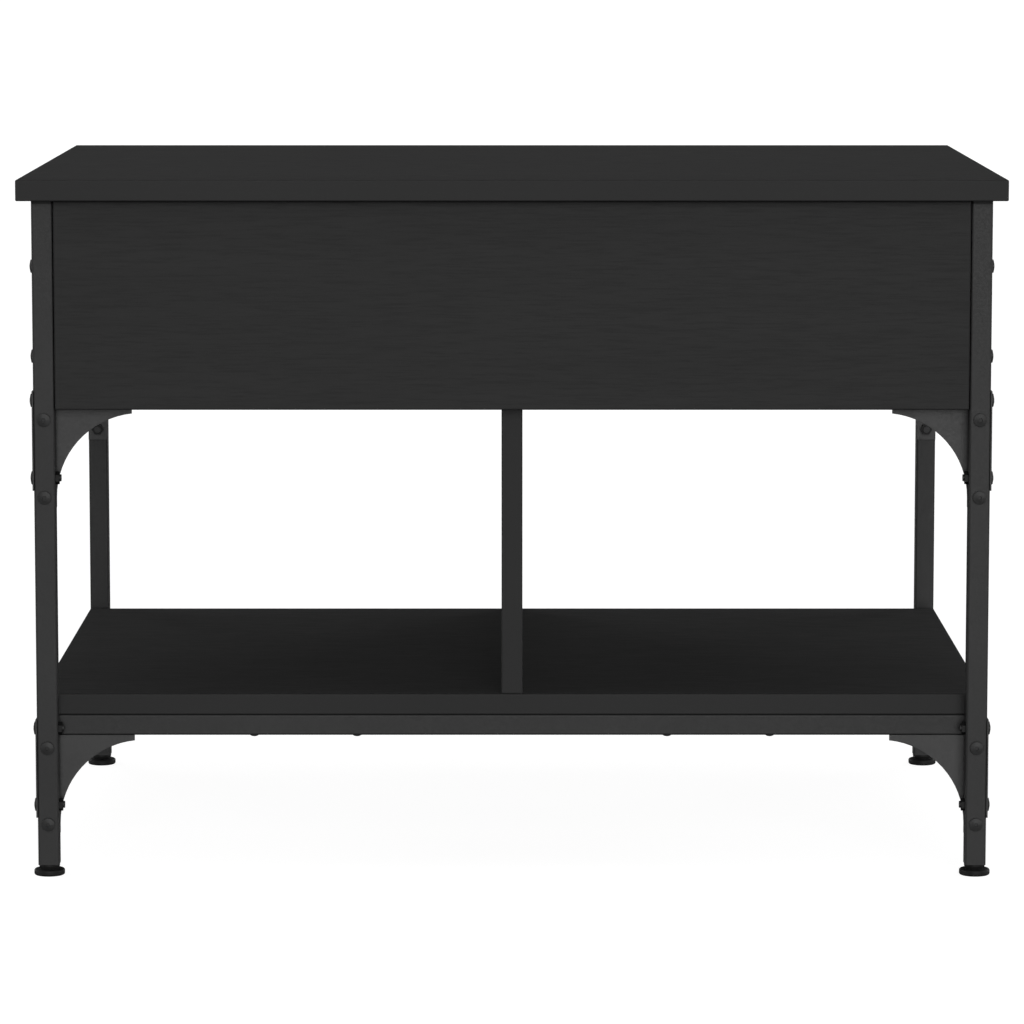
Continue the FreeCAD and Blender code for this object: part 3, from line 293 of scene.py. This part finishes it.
def turned_zinc(name, centres=()):
    """Bright zinc plating; centres are the (y, z) axes round which heads were turned."""
    finish = Finish(name)
    patches = finish.noise(120.0, 3.0, 0.6)
    grain = finish.noise(3100.0, 2.0)
    base = finish.colours(patches, [(0.30, (0.50, 0.53, 0.57)), (0.55, (0.58, 0.59, 0.60)),
                                    (0.72, (0.62, 0.60, 0.55))])
    near_edges = finish.edges(0.4 * MM)
    base = finish.mix(finish.math("MULTIPLY", near_edges, 0.5), base, (0.74, 0.74, 0.74, 1))
    heights = [(grain, 0.05, 0.02 * MM)]
    if centres:
        along = finish.add("SeparateXYZ", {0: finish.place})
        nearest = None
        for y, z in centres:
            dy = finish.math("SUBTRACT", along.outputs[1], y)
            dz = finish.math("SUBTRACT", along.outputs[2], z)
            squares = finish.math("ADD", finish.math("MULTIPLY", dy, dy), finish.math("MULTIPLY", dz, dz))
            distance = finish.math("SQRT", squares)
            nearest = distance if nearest is None else finish.math("MINIMUM", nearest, distance)
        rings = finish.math("SINE", finish.math("MULTIPLY", nearest, 2 * math.pi / (0.45 * MM)))
        heights.append((rings, 0.12, 0.02 * MM))
    finish.surface(Base_Color=base, Roughness=finish.between(grain, 0.24, 0.36), Metallic=1.0)
    finish.relief(heights)
    return finish.material


def drawn_wire(name):
    """Oiled spring wire with die marks that run along it, by the coil's UVs."""
    finish = Finish(name)
    wire = finish.add("TexCoord").outputs["UV"]
    marks = finish.noise(1.0, 3.0, 0.65, finish.moved((60, 22, 1), place=wire))
    oil = finish.noise(160.0, 3.0, 0.6)
    base = finish.colours(oil, [(0.30, (0.20, 0.19, 0.18)), (0.60, (0.36, 0.36, 0.36)),
                                (0.75, (0.43, 0.43, 0.44))])
    rough = finish.between(marks, 0.26, 0.44)
    finish.surface(Base_Color=base, Roughness=rough, Metallic=1.0)
    finish.relief([(marks, 0.14, 0.04 * MM)])
    return finish.material


def natural_nylon(name):
    """Milky nylon washers and bushes, faintly uneven from the mould."""
    finish = Finish(name)
    flow = finish.noise(90.0, 3.0, 0.55, distortion=0.8)
    grain = finish.noise(1900.0, 2.0)
    base = finish.colours(flow, [(0.30, (0.66, 0.64, 0.58)), (0.70, (0.78, 0.77, 0.72))])
    finish.surface(Base_Color=base, Roughness=finish.between(grain, 0.38, 0.50), Subsurface_Weight=0.15)
    finish.shader.inputs["Subsurface Radius"].default_value = (1.0, 0.9, 0.7)
    finish.shader.inputs["Subsurface Scale"].default_value = 1.5 * MM
    finish.relief([(grain, 0.06, 0.03 * MM)])
    return finish.material


def beech(name):
    """Beech dowels: pale wood with short dark flecks."""
    finish = Finish(name)
    rings = finish.noise(1.0, 4.0, 0.6, finish.moved((700, 700, 120)), distortion=0.4)
    flecks = finish.noise(1.0, 2.0, 0.5, finish.moved((2400, 2400, 500)))
    base = finish.colours(rings, [(0.30, (0.47, 0.31, 0.17)), (0.70, (0.62, 0.45, 0.28))])
    base = finish.mix(finish.between(flecks, 0.0, 0.5, 0.60, 0.72), base, (0.26, 0.15, 0.08, 1))
    finish.surface(Base_Color=base, Roughness=finish.between(rings, 0.62, 0.78))
    finish.relief([(rings, 0.20, 0.10 * MM), (flecks, 0.10, 0.05 * MM)])
    return finish.material


def assign(node, material):
    """Gives a CAD node its finished material."""
    for slot in frame["nodes"][node].material_slots:
        slot.material = material


def slot_of(node):
    return frame["nodes"][node].material_slots[0].material.name


def pivot(joint):
    """(y, z) of a hinge that turns about X."""
    return tuple(joints[joint]["pos_m"][1:])


def finish_cad_nodes():
    """Assigns a procedural material to every CAD node that stays in sight."""
    by_slot = {
        "black_fastener": black_zinc("black_zinc", 0.019, 0.028, 0.32),
        "black_plastic": moulded_plastic("moulded_black"),
        "lift_steel": satin_coat("satin_electro_coat", 0.045),
        "nylon": natural_nylon("natural_nylon"),
        "beech_dowel": beech("beech"),
        "zinc_steel": turned_zinc("bright_zinc"),
        "black_steel": powder_coat("powder_coat_tube", 0.0295),
    }
    # The corner plates get a lighter copy of the tubes' powder coat: painted light, standing in for the
    # brighter light on the plates.
    plates = powder_coat("plate_coat_painted_lighter", 0.044, roughness=0.48, specular=0.34)
    # The nuts get a darker copy of the fastener finish: painted shade for the dark hollow round them.
    nuts = black_zinc("nut_zinc_painted_dark", 0.005, 0.009, 0.22)
    turned = {
        "rear_pivot_pins": [pivot("lift")],
        "front_pivot_pins": [pivot("front_arm_left_swing")],
        "stop_pins": [middle_of("stop_pins")],
        "top_pivot_rivets": rivet_axes(),
    }
    for node in frame["nodes"]:
        slot = slot_of(node)
        if node in BOARDS:
            assign(node, board_finish(node, *BOARDS[node]))
        elif node in turned:
            assign(node, turned_zinc("turned_" + node, turned[node]))
        elif node.endswith("_gussets"):
            assign(node, plates)
        elif node == "leg_nuts":
            assign(node, nuts)
        elif slot in by_slot:
            assign(node, by_slot[slot])
    return by_slot


def middle_of(node):
    low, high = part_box(node)
    return ((low.y + high.y) / 2, (low.z + high.z) / 2)


def rivet_axes():
    """(y, z) of the rear and the front upper pivots: the corners of the rivets' box."""
    low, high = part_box("top_pivot_rivets")
    rear = pivot("top_level")
    return [rear, (low.y + high.y - rear[0], low.z + high.z - rear[1])]


# --- pieces made here ------------------------------------------------------------------------------------

def swept_tube(name, line, radius_at, sides):
    """Closed mesh tube round a line of points, radius_at(i) thick, with UVs that run along it.

    The section is carried along without twisting, so marks on the surface stay straight.
    """
    mesh = bpy.data.meshes.new(name)
    builder = bmesh.new()
    uv_layer = builder.loops.layers.uv.new("UVMap")
    rings, travelled = [], [0.0]
    tangent = (line[1] - line[0]).normalized()
    across = tangent.orthogonal().normalized()
    for index, point in enumerate(line):
        ahead = line[min(index + 1, len(line) - 1)] - line[max(index - 1, 0)]
        turn = tangent.rotation_difference(ahead.normalized())
        across = (turn @ across).normalized()
        tangent = ahead.normalized()
        side = tangent.cross(across)
        if index:
            travelled.append(travelled[-1] + (point - line[index - 1]).length)
        ring = []
        for step in range(sides):
            angle = 2 * math.pi * step / sides
            out = across * math.cos(angle) + side * math.sin(angle)
            ring.append(builder.verts.new(point + out * radius_at(index)))
        rings.append(ring)
    for index, (first, second) in enumerate(zip(rings, rings[1:])):
        for step in range(sides):
            after = (step + 1) % sides
            face = builder.faces.new((first[step], first[after], second[after], second[step]))
            face.smooth = True
            corners = [(index, step), (index, step + 1), (index + 1, step + 1), (index + 1, step)]
            for loop, (along, around) in zip(face.loops, corners):
                loop[uv_layer].uv = (travelled[along], around / sides)
    builder.faces.new(tuple(reversed(rings[0])))
    builder.faces.new(tuple(rings[-1]))
    bmesh.ops.recalc_face_normals(builder, faces=builder.faces)
    builder.to_mesh(mesh)
    builder.free()
    piece = bpy.data.objects.new(name, mesh)
    bpy.context.scene.collection.objects.link(piece)
    return piece


def line_between(start, end, count):
    return [start.lerp(end, step / count) for step in range(count)]


SPRING_WIRE = 1.6 * MM  # radius of the wire
SPRING_RADIUS = 12 * MM  # middle of the wire
SPRING_PITCH = 3.6 * MM
SPRING_TURNS = 4
SPRING_REACH = 40 * MM  # pivot to the hole in the arm
SPRING_TANG = 5.9 * MM  # bent end through the arm
SPRING_BEND = 2.6 * MM  # radius of the bend between the leg and the bent end
SPRING_END = 0.78  # thickness of the filed ends, as a share of the wire's
SPRING_FOOT = Vector((-26 * MM, -28.6 * MM))  # fixed end from the pivot, forward and down
ARM_REST_ANGLE = math.radians(8)


def spring_line():
    """Middle line of the wire from the bent end to the foot, about the pivot: X away from the arm, Y back."""
    slope = SPRING_PITCH / (2 * math.pi * SPRING_RADIUS)
    first = ARM_REST_ANGLE + math.acos(SPRING_RADIUS / SPRING_REACH)
    foot_distance = SPRING_FOOT.length
    last = math.atan2(SPRING_FOOT.y, SPRING_FOOT.x) + 2 * math.pi - math.acos(SPRING_RADIUS / foot_distance)
    sweep = last - first + 2 * math.pi * SPRING_TURNS
    arm_leg = math.sqrt(SPRING_REACH**2 - SPRING_RADIUS**2)
    foot_leg = math.sqrt(foot_distance**2 - SPRING_RADIUS**2)
    coil_start = slope * arm_leg
    coil_end = coil_start + slope * SPRING_RADIUS * sweep

    def on_coil(share):
        angle = first + sweep * share
        return Vector((coil_start + (coil_end - coil_start) * share,
                       SPRING_RADIUS * math.cos(angle), SPRING_RADIUS * math.sin(angle)))

    corner = Vector((0, SPRING_REACH * math.cos(ARM_REST_ANGLE), SPRING_REACH * math.sin(ARM_REST_ANGLE)))
    foot = Vector((coil_end + slope * foot_leg, SPRING_FOOT.x, SPRING_FOOT.y))
    inward, outward = (on_coil(0) - corner).normalized(), Vector((-1, 0, 0))
    half_turn = (math.pi - inward.angle(outward)) / 2
    middle = corner + (inward + outward).normalized() * (SPRING_BEND / math.cos(half_turn))
    bend_start = corner + outward * SPRING_BEND * math.tan(half_turn)
    bend_end = corner + inward * SPRING_BEND * math.tan(half_turn)
    turn = (bend_start - middle).rotation_difference(bend_end - middle)
    bend_steps, coil_steps = 10, 48 * SPRING_TURNS
    line = line_between(corner + outward * SPRING_TANG, bend_start, 4)
    for step in range(bend_steps):
        share = Matrix.Rotation(turn.angle * step / bend_steps, 3, turn.axis)
        line.append(middle + share @ (bend_start - middle))
    line += line_between(bend_end, on_coil(0), 14)
    line += [on_coil(step / coil_steps) for step in range(coil_steps)]
    line += line_between(on_coil(1), foot, 14)
    line.append(foot)
    return line


def build_springs(wire_material):
    """Torsion springs: the coil winds between the bracket, which holds its foot, and the rising arm."""
    for side, sign in (("left", 1), ("right", -1)):
        low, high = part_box("spring_" + side)
        y, z = pivot("lift")
        outer_end = low.x if side == "left" else high.x
        arm_x = outer_end + sign * SPRING_TANG
        line = [Vector((arm_x + sign * p.x, y + p.y, z + p.z)) for p in spring_line()]
        ends = len(line) - 1

        def radius_at(index):
            return SPRING_WIRE * (SPRING_END if index in (0, ends) else 1.0)

        coil = swept_tube("coil_spring_" + side, line, radius_at, 16)
        coil.data.materials.append(wire_material)
        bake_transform(coil)
        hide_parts("spring_" + side)


WELD_RADIUS = 1.1 * MM
WELD_RIPPLE = 1.5 * MM  # one ripple of the bead to the next
WELD_SHIFT = 0.4 * WELD_RADIUS  # middle of a bead from the corner that it fills
POST_MARGIN = 1.2 * MM  # upright bead to the upper and lower faces of the tubes
MITRE_MARGIN = 1.5 * MM  # bead under a corner to the sides of the tube
PLATE_BEAD = 11 * MM  # length of the short beads along a corner plate
PLATE_REACH = 60 * MM  # outer end of a corner plate to the start of its inner bead
FACE_PLATE_STEP = 26 * MM  # inner bead to outer bead, plates on the front and back
SIDE_PLATE_STEP = 22 * MM  # the same, plates on the sides
FACE_PLATE_INSET = 0.8 * MM  # bead behind the face of the front and back plates


def weld_bead(start, end, shift):
    """Line and radii of one rippled bead from start to end, moved by shift from the corner it fills."""
    length = (end - start).length
    steps = max(12, round(length / (WELD_RIPPLE / 6)))
    line, radii = [], []
    for step in range(steps + 1):
        share = step / steps
        ripple = abs(math.sin(math.pi * share * length / WELD_RIPPLE))
        taper = min(1.0, 0.45 + 8 * share, 0.45 + 8 * (1 - share))
        line.append(start.lerp(end, share) + shift)
        radii.append(WELD_RADIUS * taper * (0.90 + 0.14 * ripple))
    return line, radii


def frame_welds(level):
    """Lines and radii of every bead on the lower or the upper frame."""
    beads = []
    rail_low, rail_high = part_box(level + "_front_rail")
    side_low, side_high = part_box(level + "_right_rail")
    inner_face = -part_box(level + "_front_gussets")[1].y
    side_plate_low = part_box(level + "_right_gussets")[0]
    bottom, top = rail_low.z, rail_high.z
    joint_y, inner_x, outer_x = -rail_high.y, side_low.x, side_high.x
    face_start, side_start = outer_x - PLATE_REACH, -side_plate_low.y - PLATE_REACH

    def bead(start, end, shift=(0, 0, 0)):
        beads.append(weld_bead(Vector(start), Vector(end), Vector(shift)))

    for x_sign in (-1, 1):
        for y_sign in (-1, 1):
            x, y = x_sign * inner_x, y_sign * joint_y
            bead((x, y, bottom + POST_MARGIN), (x, y, top - POST_MARGIN),
                 (-x_sign * WELD_SHIFT * 0.3, -y_sign * WELD_SHIFT * 0.3, 0))
            bead((x_sign * (inner_x + MITRE_MARGIN), y, bottom),
                 (x_sign * (outer_x - MITRE_MARGIN), y, bottom), (0, 0, WELD_SHIFT))
            y = y_sign * (inner_face - FACE_PLATE_INSET)
            for begin in (face_start, face_start + FACE_PLATE_STEP):
                bead((x_sign * begin, y, bottom), (x_sign * (begin + PLATE_BEAD), y, bottom))
            x = x_sign * outer_x
            for begin in (side_start, side_start + SIDE_PLATE_STEP):
                bead((x, y_sign * begin, bottom), (x, y_sign * (begin + PLATE_BEAD), bottom),
                     (-x_sign * WELD_SHIFT, 0, 0))
    return beads


def joined(name, pieces):
    """One mesh piece out of several."""
    builder = bmesh.new()
    for piece in pieces:
        builder.from_mesh(piece.data)
        bpy.data.objects.remove(piece)
    mesh = bpy.data.meshes.new(name)
    builder.to_mesh(mesh)
    builder.free()
    whole = bpy.data.objects.new(name, mesh)
    bpy.context.scene.collection.objects.link(whole)
    return whole


def build_welds(material):
    """Rippled weld beads where the tubes of each frame meet and where the corner plates join them."""
    for level in ("lower", "upper"):
        pieces = []
        for number, (line, radii) in enumerate(frame_welds(level)):
            pieces.append(swept_tube(f"bead_{number}", line, radii.__getitem__, 12))
        welds = joined(level + "_frame_welds", pieces)
        welds.data.materials.append(material)
        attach(welds, "table")


# --- studio ---------------------------------------------------------------------------------------------

FLOOR_RADIUS = 90.0
CAMERA_DISTANCE = 3.545  # in front of the table top's front edge
CAMERA_HEIGHT = 0.6986
CAMERA_TILT = math.radians(6.98)
CAMERA_LENS = 176.96  # for the default 36 mm sensor

FLOOR_GLOW = 0.92  # the floor is a light table: a shadow can't get darker than this
FLOOR_GREY = 0.28
PALE = 1.05  # what the camera sees above the floor
UNDER_LIGHT = 0.06  # light that comes back from below
CEILING_LIGHT = 0.18
SUNS = [  # name, azimuth from the front towards +X, elevation and width of the light in degrees, strength
    ("key", 8, 10, 44, 1.70),
    ("overhead", 0, 89, 50, 0.32),
    ("side_left", -86, 10, 30, 0.90),
    ("side_right", 86, 10, 30, 0.90),
    ("back_left", -138, 12, 30, 0.55),
    ("back_right", 138, 12, 30, 0.55),
]


def build_floor():
    """Plain pale floor that glows, so the table stands on white.

    It sends no light to the table: the world's lower half does that, which is even and soft.
    """
    mesh = bpy.data.meshes.new("floor")
    builder = bmesh.new()
    bmesh.ops.create_circle(builder, cap_ends=True, segments=96, radius=FLOOR_RADIUS)
    builder.to_mesh(mesh)
    builder.free()
    floor = bpy.data.objects.new("floor", mesh)
    bpy.context.scene.collection.objects.link(floor)
    floor.visible_diffuse = False
    floor.visible_glossy = False
    floor.visible_shadow = False
    finish = Finish("pale_floor")
    cloud = finish.noise(2.0, 3.0)
    shades = [(0.3, grey(FLOOR_GREY)), (0.7, grey(FLOOR_GREY * 1.03))]
    finish.surface(Base_Color=finish.colours(cloud, shades), Roughness=0.9, Specular_IOR_Level=0.0)
    finish.shader.inputs["Emission Color"].default_value = (1, 1, 1, 1)
    finish.shader.inputs["Emission Strength"].default_value = FLOOR_GLOW
    mesh.materials.append(finish.material)


def build_world():
    """Soft studio surround: dim low down, brighter overhead, and simply pale to the camera itself."""
    world = bpy.data.worlds.new("studio")
    bpy.context.scene.world = world
    world.use_nodes = True
    nodes, links = world.node_tree.nodes, world.node_tree.links
    nodes.clear()
    direction = nodes.new("ShaderNodeTexCoord")
    height = nodes.new("ShaderNodeSeparateXYZ")
    links.new(direction.outputs["Generated"], height.inputs[0])
    ramp = nodes.new("ShaderNodeMapRange")
    links.new(height.outputs["Z"], ramp.inputs["Value"])
    ramp.inputs["From Min"].default_value = 0.10
    ramp.inputs["From Max"].default_value = 0.80
    ramp.inputs["To Min"].default_value = UNDER_LIGHT
    ramp.inputs["To Max"].default_value = CEILING_LIGHT
    lit = nodes.new("ShaderNodeBackground")
    lit.inputs["Color"].default_value = (1, 1, 1, 1)
    links.new(ramp.outputs["Result"], lit.inputs["Strength"])
    seen = nodes.new("ShaderNodeBackground")
    seen.inputs["Color"].default_value = (1, 1, 1, 1)
    seen.inputs["Strength"].default_value = PALE
    path = nodes.new("ShaderNodeLightPath")
    mixer = nodes.new("ShaderNodeMixShader")
    links.new(path.outputs["Is Camera Ray"], mixer.inputs["Fac"])
    links.new(lit.outputs[0], mixer.inputs[1])
    links.new(seen.outputs[0], mixer.inputs[2])
    output = nodes.new("ShaderNodeOutputWorld")
    links.new(mixer.outputs[0], output.inputs["Surface"])


def build_lights():
    for name, azimuth, elevation, width, strength in SUNS:
        light = bpy.data.lights.new(name, "SUN")
        light.energy = strength
        light.angle = math.radians(width)
        lamp = bpy.data.objects.new(name, light)
        a, e = math.radians(azimuth), math.radians(elevation)
        towards = Vector((math.sin(a) * math.cos(e), -math.cos(a) * math.cos(e), math.sin(e)))
        lamp.rotation_mode = "QUATERNION"
        lamp.rotation_quaternion = towards.to_track_quat("Z", "Y")
        lamp.location = towards * 3
        bpy.context.scene.collection.objects.link(lamp)


def build_camera():
    """Camera in front of the table, tilted a little down towards the middle of it."""
    low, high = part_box("table_top")
    data = bpy.data.cameras.new("camera")
    data.lens = CAMERA_LENS
    data.clip_end = 2 * FLOOR_RADIUS
    camera = bpy.data.objects.new("camera", data)
    camera.location = ((low.x + high.x) / 2, low.y - CAMERA_DISTANCE, CAMERA_HEIGHT)
    camera.rotation_euler = (math.pi / 2 - CAMERA_TILT, 0, 0)
    bpy.context.scene.collection.objects.link(camera)
    bpy.context.scene.camera = camera


# --- the scene ------------------------------------------------------------------------------------------

bpy.context.scene.view_settings.view_transform = "Standard"
build_camera()
build_floor()
build_world()
build_lights()
finishes = finish_cad_nodes()
build_springs(drawn_wire("drawn_wire"))
build_welds(finishes["black_steel"])
